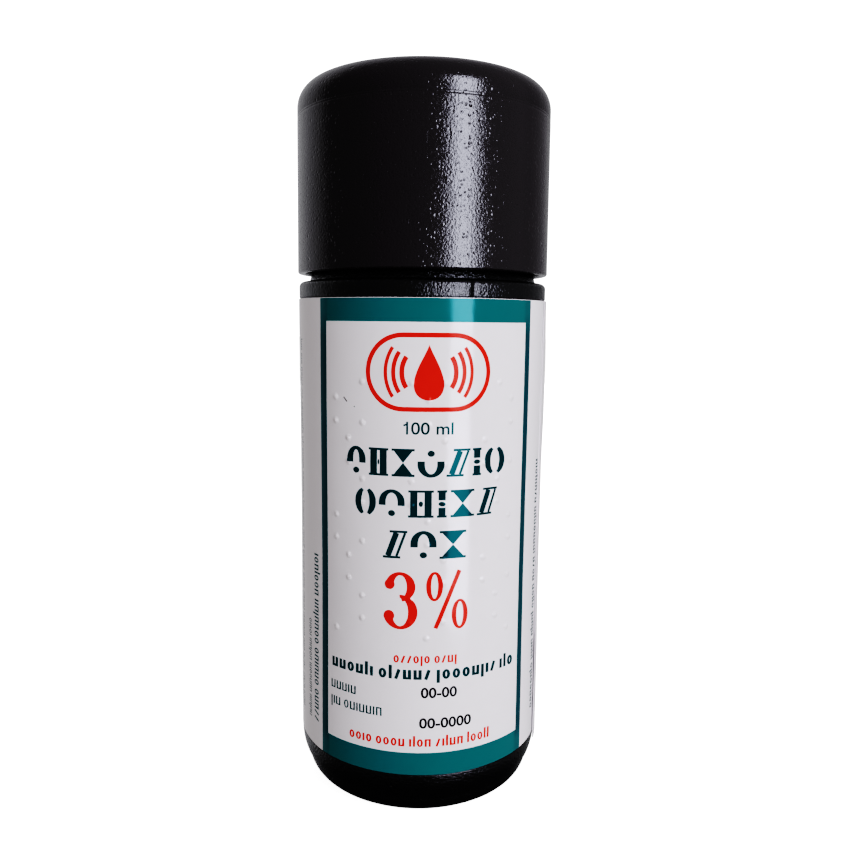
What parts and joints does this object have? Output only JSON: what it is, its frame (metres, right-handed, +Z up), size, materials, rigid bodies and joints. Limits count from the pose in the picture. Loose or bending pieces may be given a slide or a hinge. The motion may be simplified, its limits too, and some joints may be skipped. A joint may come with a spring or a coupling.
{
  "type": "screw-cap solution bottle",
  "caption": "Round opaque plastic bottle with rounded base, wrap label, plug-in drip nozzle and a tall smooth screw cap as wide as the body, which unscrews from a threaded neck.",
  "frame": {"origin": "centre of the base, on the surface the bottle stands on", "axes": "+Z up along the bottle's axis, -Y towards the front of the label"},
  "size_m": [0.0437, 0.0434, 0.122],
  "materials": {
    "bottle_plastic": "black polyethylene, glossy with a fine orange peel",
    "cap_plastic": "black polypropylene, high gloss with faint orange peel and fine scratches",
    "core_plastic": "black polypropylene, satin",
    "insert_plastic": "natural low-density polyethylene, milky satin",
    "seal_foam": "fine closed-cell polyethylene foam",
    "label_laminate": "white printed label under a gloss laminate, teal frame, red and dark teal print"
  },
  "bodies": {
    "bottle": {"bottle_body": "bottle_plastic", "dropper_insert": "insert_plastic", "wrap_label": "label_laminate"},
    "tamper_ring": {"tamper_ring": "core_plastic"},
    "cap_lift_stage": {"seal_washer": "seal_foam"},
    "cap": {"cap_core": "core_plastic", "cap_shell": "cap_plastic"}
  },
  "joints": [
    {"name": "tamper_ring_spin", "type": "hinge", "parent": "bottle", "child": "tamper_ring", "pos_m": [0, 0, 0.097], "axis": [0, 0, 1], "continuous": true},
    {"name": "cap_lift", "type": "slide", "parent": "bottle", "child": "cap_lift_stage", "axis": [0, 0, 1], "range_m": [0, 0.0048]},
    {"name": "cap_turn", "type": "hinge", "parent": "cap_lift_stage", "child": "cap", "pos_m": [0, 0, 0.105], "axis": [0, 0, 1], "range_deg": [0, 540]}
  ],
  "couplings": [
    {"joint": "cap_lift", "follows": "cap_turn", "m_per_rad": 0.00050532}
  ]
}
